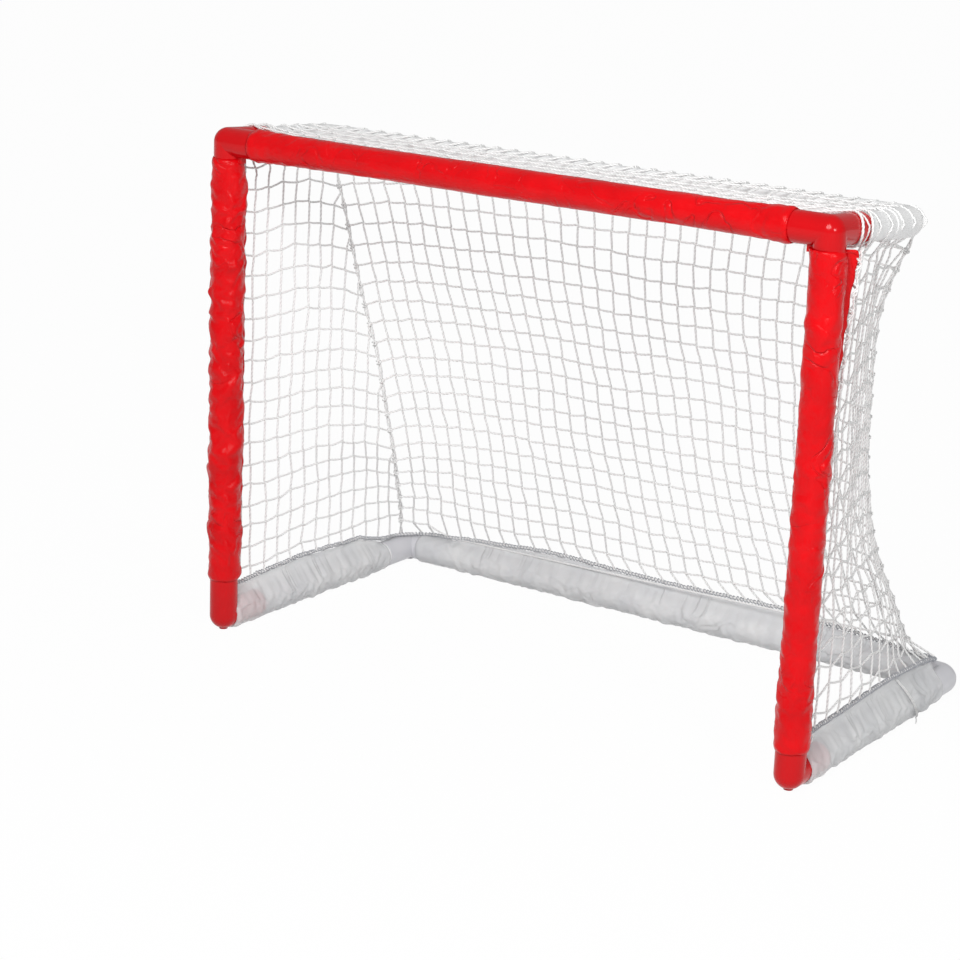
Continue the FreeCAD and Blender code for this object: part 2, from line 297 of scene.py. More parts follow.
hard = {"top_corner": red_plastic, "foot_elbow": red_plastic, "rear_base_elbow": grey_plastic}
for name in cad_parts:
    kind = name.replace("left_", "").replace("right_", "")
    finish_node(name, hard.get(kind, white_plastic))
print("finished", len(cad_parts), "nodes")

# %% [markdown]
# ## Gathered sleeves
#
# A sleeve is a strip of nylon folded round the tube, with its two edges sewn together into a
# seam flap. The cloth is a little longer than its tube, so it bunches into small folds. Those
# could be modelled by hand, but real cloth buckles in its own way, so a Cloth simulation
# grows the strip by a few percent over a hidden rod and lets it crumple.
#
# The cross-section is the letter P seen end on: out from the flap's edge, round the tube and
# back to the flap's other edge.

# %% The strip of cloth before it is gathered
around = 30
flap_steps = 3
row_pitch = 0.0047
corner_rounding = 0.002
corner_length = 0.006
dent_depth = 0.05
cloth_shake = 0.0005


def soft_step(value):
    value = min(max(value, 0.0), 1.0)
    return value * value * (3 - 2 * value)


def sleeve_outline(radius, root, tip):
    """Pairs (towards the flap, across it) of one cross-section of the sleeve."""
    half_gap = 0.0006
    tip = max(tip, radius + 0.002)
    root = max(radius, min(root, tip - 0.002))
    lean = max(math.acos(min(1.0, radius / root)), math.asin(half_gap / radius))
    flap = [(tip + (root - tip) * i / flap_steps, half_gap) for i in range(flap_steps)]
    ring = [lean + (2 * math.pi - 2 * lean) * i / around for i in range(around + 1)]
    circle = [(radius * math.cos(a), radius * math.sin(a)) for a in ring]
    return flap + circle + [(f, -s) for f, s in reversed(flap)]


def sleeve_strip(name, start, along, length, worn, seed):
    """A grid of cloth: each row is one cross-section. The UV map is in metres."""
    random = np.random.default_rng(seed)
    rows = round(length / row_pitch)
    columns = around + 1 + 2 * flap_steps
    verts, faces = [], []
    for row in range(rows + 1):
        share = row / rows
        travel = length * share
        flap = worn["flap"](share)
        across = along.cross(flap)
        centre = start + along * travel + worn["hang"](share)
        from_end = min(travel, length - travel)
        tip = worn["tip"](share) - corner_rounding * (1 - soft_step(from_end / corner_length))
        outline = sleeve_outline(worn["radius"](share), worn["root"], tip)
        ripple = Vector(noise.noise_vector(Vector((travel * 60, seed, 0.3)))) * 0.6
        ripple += Vector(noise.noise_vector(Vector((travel * 190, seed, 4.1)))) * 0.4
        for column, (out, aside) in enumerate(outline):
            from_edge = min(column, columns - 1 - column)
            loose = max(0.0, 1 - from_edge / flap_steps) * worn["ragged"]
            jitter = random.uniform(-1, 1, 2) * cloth_shake * (from_edge > flap_steps)
            out += ripple.x * loose + jitter[0]
            aside += ripple.y * loose + jitter[1]
            if from_edge > flap_steps:
                spot = Vector((travel * 45, out * 70, aside * 70 + seed))
                puffed = 1 + worn["dents"] * max(0.0, noise.noise(spot) + 0.3) * soft_step(from_end / 0.012)
                out, aside = out * puffed, aside * puffed
            verts.append(centre + flap * out + across * aside)
    for row in range(rows):
        for column in range(columns - 1):
            corner = row * columns + column
            faces.append((corner, corner + 1, corner + columns + 1, corner + columns))
    mesh = bpy.data.meshes.new(name)
    mesh.from_pydata(verts, [], faces)
    cloth_across = np.cumsum([0] + [math.dist(a, b) for a, b in zip(outline, outline[1:])])
    layer = mesh.uv_layers.new(name="UVMap")
    for loop in mesh.loops:
        row, column = divmod(loop.vertex_index, columns)
        layer.data[loop.index].uv = (cloth_across[column], length * row / rows)
    strip = bpy.data.objects.new(name, mesh)
    bpy.context.scene.collection.objects.link(strip)
    return strip, rows, columns, float(cloth_across[-1])


# %% Cloth settings, pinned edges and the rod inside
rod_inset = 0.0005


def hidden_rod(start, along, length, arms):
    """The tube and the fitting arms under a sleeve as one turned shape, a little thinner."""
    first, last = arms
    overhang = 0.03
    step = 0.002
    profile = [(-overhang, arm_radius), (first, arm_radius), (first + step, tube_radius),
               (length - last - step, tube_radius), (length - last, arm_radius),
               (length + overhang, arm_radius)]
    sides = 48
    one = along.orthogonal().normalized()
    two = along.cross(one)
    turns = [2 * math.pi * i / sides for i in range(sides)]
    verts = [start + along * travel + (one * math.cos(a) + two * math.sin(a)) * (radius - rod_inset)
             for travel, radius in profile for a in turns]
    faces = [(ring * sides + i, ring * sides + (i + 1) % sides,
              (ring + 1) * sides + (i + 1) % sides, (ring + 1) * sides + i)
             for ring in range(len(profile) - 1) for i in range(sides)]
    mesh = bpy.data.meshes.new("rod")
    mesh.from_pydata(verts, [], faces)
    rod = bpy.data.objects.new("rod", mesh)
    bpy.context.scene.collection.objects.link(rod)
    rod.modifiers.new("collision", "COLLISION")
    rod.collision.thickness_outer = 0.0004
    rod.collision.cloth_friction = 8
    return rod


def add_cloth(strip, columns, rows, bunching, calm, gathered, stiffness):
    """Pins the flap and both ends. The rest grows: calm where bunching is 0, gathered at 1."""
    pins = strip.vertex_groups.new(name="pins")
    held = [r * columns + c for r in range(rows + 1) for c in range(columns)
            if r in (0, rows) or min(c, columns - 1 - c) < flap_steps]
    pins.add(held, 1.0, "REPLACE")
    taut = strip.vertex_groups.new(name="taut")
    for row in range(rows + 1):
        weight = 1 - bunching(row / rows)
        taut.add(list(range(row * columns, (row + 1) * columns)), weight, "REPLACE")
    cloth = strip.modifiers.new("cloth", "CLOTH")
    settings = cloth.settings
    settings.quality = 4
    settings.mass = 0.02
    settings.tension_stiffness = 30
    settings.compression_stiffness = 30
    settings.shear_stiffness = 10
    settings.bending_stiffness = stiffness
    settings.tension_damping = 5
    settings.bending_damping = 0.5
    settings.air_damping = 2
    settings.shrink_min = -gathered
    settings.shrink_max = -calm
    settings.vertex_group_mass = "pins"
    settings.vertex_group_shrink = "taut"
    settings.effector_weights.gravity = 0.3
    cloth.collision_settings.collision_quality = 2
    cloth.collision_settings.distance_min = 0.0006
    cloth.collision_settings.use_self_collision = False


# %% [markdown]
# Where a sleeve is bunched is seen on the real goal: the left post is bunched below its
# corner, the right post is smoother, and the crossbar is pulled taut between its ends. Each
# sleeve therefore has a bunching curve along its length, from 0 to 1.
#
# The flap of the right post turns outward near the top and behind the post further down. The
# left sleeve bows a little to one side of its tube, and the right one leans in at its top.

# %% How each sleeve is worn
def bump_curve(places):
    """A bunching curve: each place is (middle, half width, amount), all as shares."""
    def at(share):
        return min(1.0, sum(a * math.exp(-((share - m) / w) ** 2) for m, w, a in places))
    return at


def worn_radius(length, middle_radius, reach=0.03):
    """Snug on the fittings' arms at both ends, and another size between."""
    snug = arm_radius + 0.0006

    def at(share):
        from_end = min(share, 1 - share) * length
        return snug + (middle_radius - snug) * soft_step((from_end - 0.008) / reach)
    return at


red_tip = 0.028
bar_tip = 0.0245
bar_flap_angle = math.radians(24)
white_root = 0.0245
short_of_tube = 0.004
mouth_reach = 0.012
full_turn = math.radians(86)
flap_turn = {-1: 0.0, 1: math.radians(50)}
turn_height = 0.1
post_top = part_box("right_post_sleeve")[1][2]
sideways = Vector((0.826, 0.565, 0))
post_radius = {-1: 0.0178, 1: 0.0172}
# Each growth: the share where the cloth is calm, the share where it is gathered, its stiffness.
post_growth = {-1: (0.04, 0.2, 4.0), 1: (0.01, 0.14, 4.0)}
base_growth = (0.03, 0.13, 3.0)
rear_growth = (0.03, 0.12, 3.0)
bar_growth = (-0.02, 0.07, 1.0)
white_radius, bar_radius = 0.0172, 0.0153
post_ragged, white_ragged, bar_ragged = 0.004, 0.002, 0.0008
post_seed, base_seed, bar_seed, rear_seed = 11, 21, 31, 41
post_bunching = {
    -1: bump_curve([(0.8, 0.16, 1.0), (0.5, 0.1, 0.55), (0.3, 0.09, 0.5), (0.06, 0.07, 0.8)]),
    1: bump_curve([(0.86, 0.06, 0.3), (0.55, 0.07, 0.5), (0.33, 0.06, 0.6), (0.08, 0.08, 0.85)]),
}
bar_bunching = bump_curve([(0.03, 0.06, 1.0), (0.13, 0.03, 0.5), (0.47, 0.05, 0.4), (0.97, 0.05, 1.0)])
base_bunching = bump_curve([(0.08, 0.12, 1.0), (0.42, 0.2, 0.9), (0.8, 0.2, 0.9)])
rear_bunching = bump_curve([(0.08, 0.07, 0.7), (0.32, 0.12, 0.9), (0.62, 0.12, 1.0), (0.95, 0.08, 0.8)])


# The hem's middle: pairs (back from the mouth, height) and (from the goal's middle, height).
side_hem = {
    -1: ((0.01, 0.0485), (0.06, 0.052), (0.139, 0.055), (0.217, 0.0515), (0.257, 0.05),
         (0.278, 0.044), (0.299, 0.0385), (0.325, 0.037)),
    1: ((0.017, 0.049), (0.127, 0.0525), (0.172, 0.055), (0.227, 0.056), (0.29, 0.053), (0.325, 0.049)),
}
rear_hem = ((0.0, 0.048), (0.158, 0.051), (0.2, 0.048), (0.277, 0.042), (0.308, 0.039), (0.344, 0.0355))
hem_lift = 0.003


def red_flap_tip(side, share):
    """The right sleeve's flap stands out a little more at its top corner."""
    return red_tip + (0.004 * math.exp((share - 1) / 0.06) if side > 0 else 0.0)


def hem_at(profile, place):
    """Height of the net's hem above the floor at a place along a base bar."""
    return float(np.interp(place, [p for p, _ in profile], [h for _, h in profile]))


def post_hang(side, share):
    """How far the sleeve hangs aside: the left one bows out, the right one leans in at its top."""
    if side < 0:
        return sideways * 0.0026 * min(1.0, 10 * share * (1 - share))
    return sideways * -0.0025 * share ** 2


def post_flap(side, height):
    """Direction of a post's seam flap, seen from above."""
    angle = full_turn - flap_turn[side] * math.exp((height - post_top) / turn_height)
    return Vector((side * math.cos(angle), math.sin(angle), 0))


# %% Cut all six sleeves
sleeves = []


def stay(share):
    return Vector((0, 0, 0))


def cut_sleeve(name, node, start, along, length, arms, growth, bunching, seed,
               radius, tip, flap, ragged, root=0.0, hang=stay, dents=dent_depth):
    worn = {"radius": radius, "root": root, "tip": tip, "flap": flap, "ragged": ragged, "hang": hang,
            "dents": dents}
    strip, rows, columns, width = sleeve_strip(name, start, along, length, worn, seed)
    add_cloth(strip, columns, rows, bunching, *growth)
    sleeves.append((strip, node, hidden_rod(start, along, length, arms), (width, length)))


def cut_post_sleeve(word, side):
    node = word + "_post_sleeve"
    low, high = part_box(node)
    length = high[2] - low[2]
    tube_low, tube_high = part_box(word + "_post_tube")
    cut_sleeve(
        word + "_post_cloth", node, Vector((side * half_width, front, low[2])), Z_AXIS, length,
        (tube_low[2] - low[2], high[2] - tube_high[2]), post_growth[side], post_bunching[side],
        post_seed + side, worn_radius(length, post_radius[side]), lambda share: red_flap_tip(side, share),
        lambda share: post_flap(side, low[2] + length * share), post_ragged,
        hang=lambda share: post_hang(side, share),
    )


def cut_base_sleeve(word, side):
    node = word + "_base_sleeve"
    low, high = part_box(node)
    tube_low, tube_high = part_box(word + "_base_side_tube")
    low, high = list(low), list(high)
    if side < 0:
        low[1] -= mouth_reach
        high[1] = tube_high[1] - short_of_tube
    length = high[1] - low[1]
    cut_sleeve(
        word + "_base_cloth", node, Vector((side * half_width, low[1], rear_base.z)), Y_AXIS, length,
        (tube_low[1] - low[1], high[1] - tube_high[1]), base_growth, base_bunching,
        base_seed + side, worn_radius(length, white_radius),
        lambda share: hem_at(side_hem[side], low[1] - front + length * share) - hem_lift - rear_base.z,
        lambda share: Z_AXIS, white_ragged, root=white_root,
    )


def cut_bar_sleeve(name, node, tubes, place, growth, bunching, seed, radius, tip, flap, ragged,
                   root=0.0, dents=dent_depth):
    """A sleeve along X. The tubes are the two halves of the bar inside it."""
    low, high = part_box(node)
    length = high[0] - low[0]
    arms = (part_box("left_" + tubes)[0][0] - low[0], high[0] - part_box("right_" + tubes)[1][0])
    cut_sleeve(
        name, node, Vector((low[0], place.y, place.z)), X_AXIS, length, arms, growth, bunching, seed,
        worn_radius(length, radius), tip, lambda share: flap, ragged, root=root, dents=dents,
    )


for word, side in SIDES.items():
    cut_post_sleeve(word, side)
    cut_base_sleeve(word, side)
rear_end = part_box("rear_base_sleeve")[1][0]
bar_flap = Vector((0, math.cos(bar_flap_angle), math.sin(bar_flap_angle)))
cut_bar_sleeve("crossbar_cloth", "crossbar_sleeve", "crossbar_tube", Vector((0, front, crossbar.z)),
               bar_growth, bar_bunching, bar_seed, bar_radius, lambda share: bar_tip, bar_flap,
               bar_ragged, dents=0.0)
cut_bar_sleeve("rear_base_cloth", "rear_base_sleeve", "rear_base_tube", rear_base,
               rear_growth, rear_bunching, rear_seed, white_radius,
               lambda share: hem_at(rear_hem, abs(2 * share - 1) * rear_end) - hem_lift - rear_base.z,
               Z_AXIS, white_ragged, white_root)
print("sleeves cut:", len(sleeves))

# %% [markdown]
# One run of the simulation settles all six sleeves together. Afterwards each result is
# copied into a plain mesh, so nothing is simulated again. The white sleeves rest on the
# floor, so points below it are lifted to it. Solidify gives the nylon its thickness.

# %% Gather the sleeves
last_frame = 21
nylon_thickness = 0.0005
for number in range(1, last_frame + 1):
    bpy.context.scene.frame_set(number)

depsgraph = bpy.context.evaluated_depsgraph_get()
settled = [bpy.data.meshes.new_from_object(strip.evaluated_get(depsgraph)) for strip, *_ in sleeves]
for (strip, node, rod, flat), mesh in zip(sleeves, settled):
    strip.modifiers.clear()
    strip.vertex_groups.clear()
    strip.data = mesh
    bpy.data.objects.remove(rod)
    white = "base" in node
    for vertex in mesh.vertices:
        vertex.co.z = max(vertex.co.z, nylon_thickness)
    mesh.materials.clear()
    mesh.materials.append(white_nylon if white else red_nylon)
    mesh.shade_smooth()
    smooth = strip.modifiers.new("finer cloth", "SUBSURF")
    smooth.levels = smooth.render_levels = 1
    wall = strip.modifiers.new("cloth thickness", "SOLIDIFY")
    wall.thickness = nylon_thickness
    wall.offset = 0
    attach(strip, "root")
    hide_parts(node)
    print(strip.name, "cut", [round(side * 1000) for side in flat], "mm")
bpy.context.scene.frame_set(1)

# %% [markdown]
# ## Cords by Geometry Nodes
#
# Every cord of the net is a loose chain of points. One node tree turns such chains into
# twisted two-ply cord: it rounds the chain, spaces its points evenly, and sweeps a flattened
# ring along it that turns with the cord's lay. The ring remembers where its plies are, so the
# finish can paint shade where the two plies meet.

# %% Helpers for node trees
def new_tree(name, sizes):
    """A node tree with one named input for each size and a finish, and its inputs as sockets."""
    tree = bpy.data.node_groups.new(name, "GeometryNodeTree")
    face = tree.interface
    face.new_socket("Chains", in_out="INPUT", socket_type="NodeSocketGeometry")
    for label, value in sizes.items():
        kind = "NodeSocketInt" if isinstance(value, int) else "NodeSocketFloat"
        socket = face.new_socket(label, in_out="INPUT", socket_type=kind)
        socket.default_value = value
    face.new_socket("Finish", in_out="INPUT", socket_type="NodeSocketMaterial")
    face.new_socket("Result", in_out="OUTPUT", socket_type="NodeSocketGeometry")
    return tree, add_node(tree, "NodeGroupInput").outputs


def circle(tree, sides, radius):
    inputs = {"Resolution": sides, "Radius": radius}
    return add_node(tree, "GeometryNodeCurvePrimitiveCircle", inputs, mode="RADIUS").outputs["Curve"]


def close_tree(tree, given, geometry):
    """Ends a tree: smooth shading, real geometry and the finish."""
    soft = add_node(tree, "GeometryNodeSetShadeSmooth", {"Geometry": geometry}).outputs["Geometry"]
    real = add_node(tree, "GeometryNodeRealizeInstances", {"Geometry": soft}).outputs["Geometry"]
    dyed = add_node(tree, "GeometryNodeSetMaterial", {"Geometry": real, "Material": given["Finish"]})
    add_node(tree, "NodeGroupOutput", {"Result": dyed.outputs["Geometry"]})
    return tree


def run_tree(tree, name, chains, finish, **sizes):
    """Runs a tree on chains of points and returns the result as a plain mesh object."""
    verts, edges = [], []
    for chain in chains:
        first = len(verts)
        verts += [Vector(point) for point in chain]
        edges += [(i, i + 1) for i in range(first, len(verts) - 1)]
    mesh = bpy.data.meshes.new(name)
    mesh.from_pydata(verts, edges, [])
    source = bpy.data.objects.new(name + "_chains", mesh)
    bpy.context.scene.collection.objects.link(source)
    modifier = source.modifiers.new("tree", "NODES")
    modifier.node_group = tree
    values = {"Finish": finish, **{key.capitalize(): value for key, value in sizes.items()}}
    for item in tree.interface.items_tree:
        if item.in_out == "INPUT" and item.name in values:
            modifier[item.identifier] = values[item.name]
    depsgraph = bpy.context.evaluated_depsgraph_get()
    result = bpy.data.meshes.new_from_object(source.evaluated_get(depsgraph))
    bpy.data.objects.remove(source)
    piece = bpy.data.objects.new(name, result)
    bpy.context.scene.collection.objects.link(piece)
    triangles = sum(len(face.vertices) - 2 for face in result.polygons)
    print(name, len(chains), "chains,", triangles, "triangles")
    return piece


# %% The cord tree
def cord_tree():
    sizes = {"Radius": 0.001, "Flatness": 0.74, "Lay": 0.0095, "Step": 0.0019, "Sides": 6}
    tree, given = new_tree("two-ply cord", sizes)
    chain = add_node(tree, "GeometryNodeMeshToCurve", {"Mesh": given["Chains"]}).outputs["Curve"]
    rounded = add_node(tree, "GeometryNodeCurveSplineType", {"Curve": chain}, spline_type="CATMULL_ROM")
    spaced = add_node(tree, "GeometryNodeResampleCurve",
                      {"Curve": rounded.outputs["Curve"], "Length": given["Step"]}, mode="LENGTH")
    travel = add_node(tree, "GeometryNodeSplineParameter").outputs["Length"]
    angle = maths(tree, "MULTIPLY", maths(tree, "DIVIDE", travel, given["Lay"]), 2 * math.pi)
    laid = add_node(tree, "GeometryNodeSetCurveTilt", {"Curve": spaced.outputs["Curve"], "Tilt": angle})

    size = add_node(tree, "ShaderNodeCombineXYZ", {"X": 1.0, "Y": given["Flatness"], "Z": 1.0})
    flat = add_node(tree, "GeometryNodeTransform", {
        "Geometry": circle(tree, given["Sides"], given["Radius"]), "Scale": size.outputs["Vector"]})
    place = add_node(tree, "GeometryNodeInputPosition").outputs["Position"]
    aside = add_node(tree, "ShaderNodeSeparateXYZ", {"Vector": place}).outputs["X"]
    # ply is the mask for the painted shade between the plies in the cord's finish.
    ply = maths(tree, "ABSOLUTE", maths(tree, "DIVIDE", aside, given["Radius"]))
    marked = add_node(tree, "GeometryNodeStoreNamedAttribute",
                      {"Name": "ply", "Geometry": flat.outputs["Geometry"], "Value": ply},
                      data_type="FLOAT", domain="POINT")

    swept = add_node(tree, "GeometryNodeCurveToMesh", {
        "Curve": laid.outputs["Curve"], "Profile Curve": marked.outputs["Geometry"], "Fill Caps": True})
    return close_tree(tree, given, swept.outputs["Mesh"])


twist_cords = cord_tree()


def make_cords(name, chains, replaces=(), finish=net_cord, **sizes):
    """Turns chains of points into one piece of twisted cord."""
    piece = run_tree(twist_cords, name, chains, finish, **sizes)
    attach(piece, "root")
    if replaces:
        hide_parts(*replaces)
    return piece


# %% [markdown]
# ## The net's shape
#
# The rear net and the side nets are separate panels, laced together along a seam at each
# rear corner. Slack cord pulls those two seams forward and inward, so the goal has a waist.
# A seam is drawn as a smooth curve through a few measured points, and the two differ a
# little, as on the real goal. Everything else in the net is worked out from the two seams
# and the frame.

# %% The two corner seams
def smooth_line(points, parts=16):
    """Points on a Catmull-Rom curve through the given points."""
    ends = [points[0] * 2 - points[1]] + points + [points[-1] * 2 - points[-2]]
    line = []
    for a, b, c, d in zip(ends, ends[1:], ends[2:], ends[3:]):
        for i in range(parts):
            t = i / parts
            line.append(0.5 * (2 * b + (c - a) * t + (2 * a - 5 * b + 4 * c - d) * t * t
                               + (3 * b - a - 3 * c + d) * t ** 3))
    return line + [points[-1]]


class Route:
    """A smooth line that can be read by the share of its length."""

    def __init__(self, points):
        self.line = np.array([tuple(p) for p in smooth_line([Vector(p) for p in points])])
        steps = np.linalg.norm(np.diff(self.line, axis=0), axis=1)
        self.travel = np.concatenate([[0], np.cumsum(steps)])
        self.length = float(self.travel[-1])

    def at(self, share):
        place = share * self.length
        return Vector([float(np.interp(place, self.travel, self.line[:, i])) for i in range(3)])


cord_radius = 0.0013
bar_wrap = tube_radius + cord_radius
# Each point: inward from the post line, back from the mouth, height.
seam_profiles = {
    -1: [
        (0.0038, 0.1905, 0.5488),
        (0.0001, 0.1968, 0.5057),
        (0.0075, 0.1999, 0.4733),
        (0.0301, 0.2093, 0.3704),
        (0.0451, 0.2220, 0.2982),
        (0.0480, 0.2337, 0.2480),
        (0.0437, 0.2495, 0.2117),
        (0.0425, 0.2640, 0.1700),
        (0.0285, 0.2920, 0.1246),
        (0.0184, 0.3133, 0.0923),
        (0.0071, 0.3320, 0.0650),
        (0.0000, 0.3430, 0.0345),
    ],
    1: [
        (0.0000, 0.1910, 0.5470),
        (0.0113, 0.1955, 0.5194),
        (0.0195, 0.1970, 0.5037),
        (0.0400, 0.2028, 0.4423),
        (0.0456, 0.2113, 0.3503),
        (0.0501, 0.2275, 0.2704),
        (0.0510, 0.2529, 0.2027),
        (0.0460, 0.2740, 0.1560),
        (0.0406, 0.2987, 0.1145),
        (0.0380, 0.3259, 0.0732),
        (0.0330, 0.3520, 0.0430),
    ],
}


def seam_route(side):
    return Route([(side * (half_width - inward), front + depth, height)
                  for inward, depth, height in seam_profiles[side]])


seams = {side: seam_route(side) for side in (-1, 1)}
print("corner seams are", [round(seam.length * 1000) for seam in seams.values()], "mm long")

# %% [markdown]
# The rear net hangs between the seams. Away from them it falls further back, so its first
# meshes beside each seam run nearly straight to the rear before the net turns flat. The
# lacing pulls each row down a little where it meets a seam.

# %% The rear net's surface
rear_columns = 33
rear_rows = 24
first_row = 0.3
middle_pitch = 0.0243
pitch_loss = 0.00004
right_bunching = 0.22
belly_flatness = 4
seam_dip = 0.012
dip_reach = 0.055
seen_across = (0.826, 0.565)
rear_hem_height = 0.0495


def row_share(row):
    """How far down a seam a row of the rear net is laced. The first mesh is a short one."""
    return max(0.0, (row - 1 + first_row) / (rear_rows - 1 + first_row))


def rear_curve(row):
    """Closely spaced points along a row, from the left seam to the right one."""
    v = row_share(row)
    left, right = seams[-1].at(v), seams[1].at(v)
    low = rear_hem_height
    down = max(0.0, row - 1 + first_row)
    height = max(low, rear_bar.z + bar_wrap - middle_pitch * down + pitch_loss * down ** 2)
    down = (rear_bar.z + bar_wrap - height) / (rear_bar.z + bar_wrap - low)
    depth = rear_bar.y + (rear_base.y - rear_bar.y) * down
    points = []
    for u in np.linspace(0, 1, 101):
        point = left.lerp(right, u)
        flat = 1 - abs(2 * u - 1) ** belly_flatness
        from_seam = min(u, 1 - u) * (right - left).length
        risen = 1 - math.exp(-from_seam / dip_reach)
        point.y += flat * (depth - point.y)
        point.z += flat * (height - point.z) + seam_dip * math.sin(math.pi * v) * risen * (1 - flat)
        points.append(point)
    return points


def rear_row(row):
    """The row's joints. Seen from the camera's side they are even, but closer at the right seam."""
    curve = np.array([tuple(point) for point in rear_curve(row)])
    travel = np.maximum.accumulate(curve[:, 0] * seen_across[0] + curve[:, 1] * seen_across[1])
    travel += np.linspace(0, 1e-6, len(travel))
    share = np.linspace(0, 1, rear_columns + 1)
    share += right_bunching * min(1.0, 2 * row_share(row)) * share ** 2 * (1 - share)
    places = travel[0] + (travel[-1] - travel[0]) * share
    return [Vector([float(np.interp(place, travel, curve[:, i])) for i in range(3)]) for place in places]


def chain(joints, kinks, aside, sag):
    """A cord through knotless joints: a short shared stretch at each, and slack between."""
    shared = 0.002
    points = []
    for number, joint in enumerate(joints):
        before = joints[max(number - 1, 0)]
        after = joints[min(number + 1, len(joints) - 1)]
        run = (after - before).normalized()
        if number:
            arrive = joint - run * shared + aside * kinks[number]
            points.append((points[-1] + arrive) / 2 + sag)
            points.append(arrive)
        else:
            points.append(joint)
        if 0 < number < len(joints) - 1:
            points.append(joint + run * shared - aside * kinks[number])
    return points


def shake(random, amount):
    """A small random step in any direction."""
    return Vector(random.uniform(-1, 1, 3)) * amount


def wander(u, v, seed, amount):
    """Slow unevenness over a panel, in metres."""
    spot = Vector((u * 5, v * 5, seed))
    return Vector(noise.noise_vector(spot)) * amount


# %% Weave the rear net
random = np.random.default_rng(5)
no_sag = Vector((0, 0, 0))
slack = Vector((0, 0, -0.0004))
unevenness = 0.0009
column_kink, row_kink, side_row_kink = (0.0002, 0.0007), (0.0002, 0.0008), (-0.0002, 0.0008)
rear_grid = {}
for row in range(rear_rows + 1):
    for column, point in enumerate(rear_row(row)):
        u, v = column / rear_columns, row_share(row)
        if row == rear_rows and 0 < column < rear_columns:
            point.y, point.z = rear_base.y, hem_at(rear_hem, abs(point.x))
        if 0 < row < rear_rows and 0 < column < rear_columns:
            point += wander(u, v, 1.5, 0.004)
            point += shake(random, unevenness)
        rear_grid[row, column] = point

over_bar = rear_bar.z + tube_radius + cord_radius
above_hem = 0.005
lowest_joint = rear_hem_height + above_hem


def stretches(row):
    """The row's stretches above the hem. Where it dips below, it ends and starts on the hem."""
    runs, was_below = [[]], False
    for column in range(rear_columns + 1):
        joint = rear_grid[row, column]
        below = 0 < column < rear_columns and joint.z < lowest_joint
        if not below:
            runs[-1].append(joint)
        elif not was_below:
            on_hem = rear_grid[rear_rows, column]
            runs[-1].append(on_hem)
            runs.append([on_hem])
        was_below = below
    return [run for run in runs if len(run) > 1]


down_columns = []
for column in range(1, rear_columns):
    top = rear_grid[0, column]
    wrap = [Vector((top.x, rear_bar.y + bar_wrap * math.sin(a), rear_bar.z + bar_wrap * math.cos(a)))
            for a in np.radians([0, 30, 60])]
    joints = [rear_grid[row, column] for row in range(rear_rows)
              if rear_grid[row, column].z > lowest_joint] + [rear_grid[rear_rows, column]]
    down_columns.append(wrap + chain(joints, random.uniform(*column_kink, len(joints)), X_AXIS, no_sag))
across_rows = []
for row in range(1, rear_rows):
    kinks = random.uniform(*row_kink, rear_columns + 1)
    across_rows += [chain(run, kinks, Z_AXIS, slack) for run in stretches(row)]
make_cords("rear_net_columns", down_columns, ["rear_net"], radius=cord_radius)
make_cords("rear_net_rows", across_rows, ["rear_net"], radius=cord_radius)

# %% [markdown]
# ## The top net
#
# The top panel runs from the crossbar's seam flap to the rear bar. Its lengthwise cords pass
# over the rear bar and go on as the rear net, and its cross cords pass over the side tubes
# and go on down the sides.

# %% Weave the top net
bar_hem = Vector((0, front, crossbar.z)) + bar_flap * bar_tip
top_rear = Vector((0, rear_bar.y, over_bar))
top_cells = 6
bar_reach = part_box("crossbar_sleeve")[1][0] - 0.004
top_sag = 0.004


def top_point(u, v):
    """u runs from left to right, v from the crossbar to the rear bar."""
    point = bar_hem.lerp(top_rear, v)
    reach = bar_reach + (half_width - 0.002 - bar_reach) * min(1, 3 * v)
    point.x = (2 * u - 1) * reach
    flat = 1 - abs(2 * u - 1) ** 4
    point.z -= top_sag * flat * math.sin(math.pi * v)
    return point


def tube_top(depth):
    """Height of a cord that lies on a top side tube, so far behind the post."""
    return crossbar.z + top_slope * depth + tube_radius + cord_radius


def hoop_depth(number):
    """How far behind the post a cross cord of the top net passes over the side tubes."""
    return bar_hem.lerp(top_rear, number / top_cells).y - front


top_grid = {}
for row in range(top_cells + 1):
    for column in range(rear_columns + 1):
        u, v = column / rear_columns, row / top_cells
        point = top_point(u, v)
        if 0 < row < top_cells and 0 < column < rear_columns:
            point += wander(u, v, 8.5, 0.003) + shake(random, unevenness)
        top_grid[row, column] = point

top_chains = []
for column in range(1, rear_columns):
    joints = [top_grid[row, column] for row in range(top_cells + 1)]
    joints[-1].x = rear_grid[0, column].x
    kinks = random.uniform(*column_kink, top_cells + 1)
    top_chains.append(chain(joints, kinks, X_AXIS, no_sag))
for row in range(1, top_cells):
    joints = [top_grid[row, column] for column in range(rear_columns + 1)]
    for end, side in ((0, -1), (-1, 1)):
        joints[end] = Vector((side * half_width, front + hoop_depth(row), tube_top(hoop_depth(row))))
    kinks = random.uniform(*row_kink, rear_columns + 1)
    top_chains.append(chain(joints, kinks, Y_AXIS, slack))
make_cords("top_net_cords", top_chains, ["top_net"], radius=cord_radius)

# %% [markdown]
# ## The side nets
#
# A side net is sewn to the post's seam flap in front and laced to the rear net behind. Its
# rows run from the flap to the seam and arch above the straight line, because the seam pulls
# them down. Its columns hang one behind the other below the side tube, and the last ones
# start where the seam lets them.

# %% Weave the side nets
side_rows = 21
mesh_size = 0.0247
lowest_row = 0.0395
seen_step = 0.01396
# The hem turns inward at the rear corner: places back from the mouth, and how far inward.
corner_bend = ((0.325, 0.334, 0.346, 0.357), (0.0, 0.002, 0.009, 0.017))
first_column = 0.0457
side_zigzag = {-1: 0.0008, 1: 0.0036}
side_seed = 60
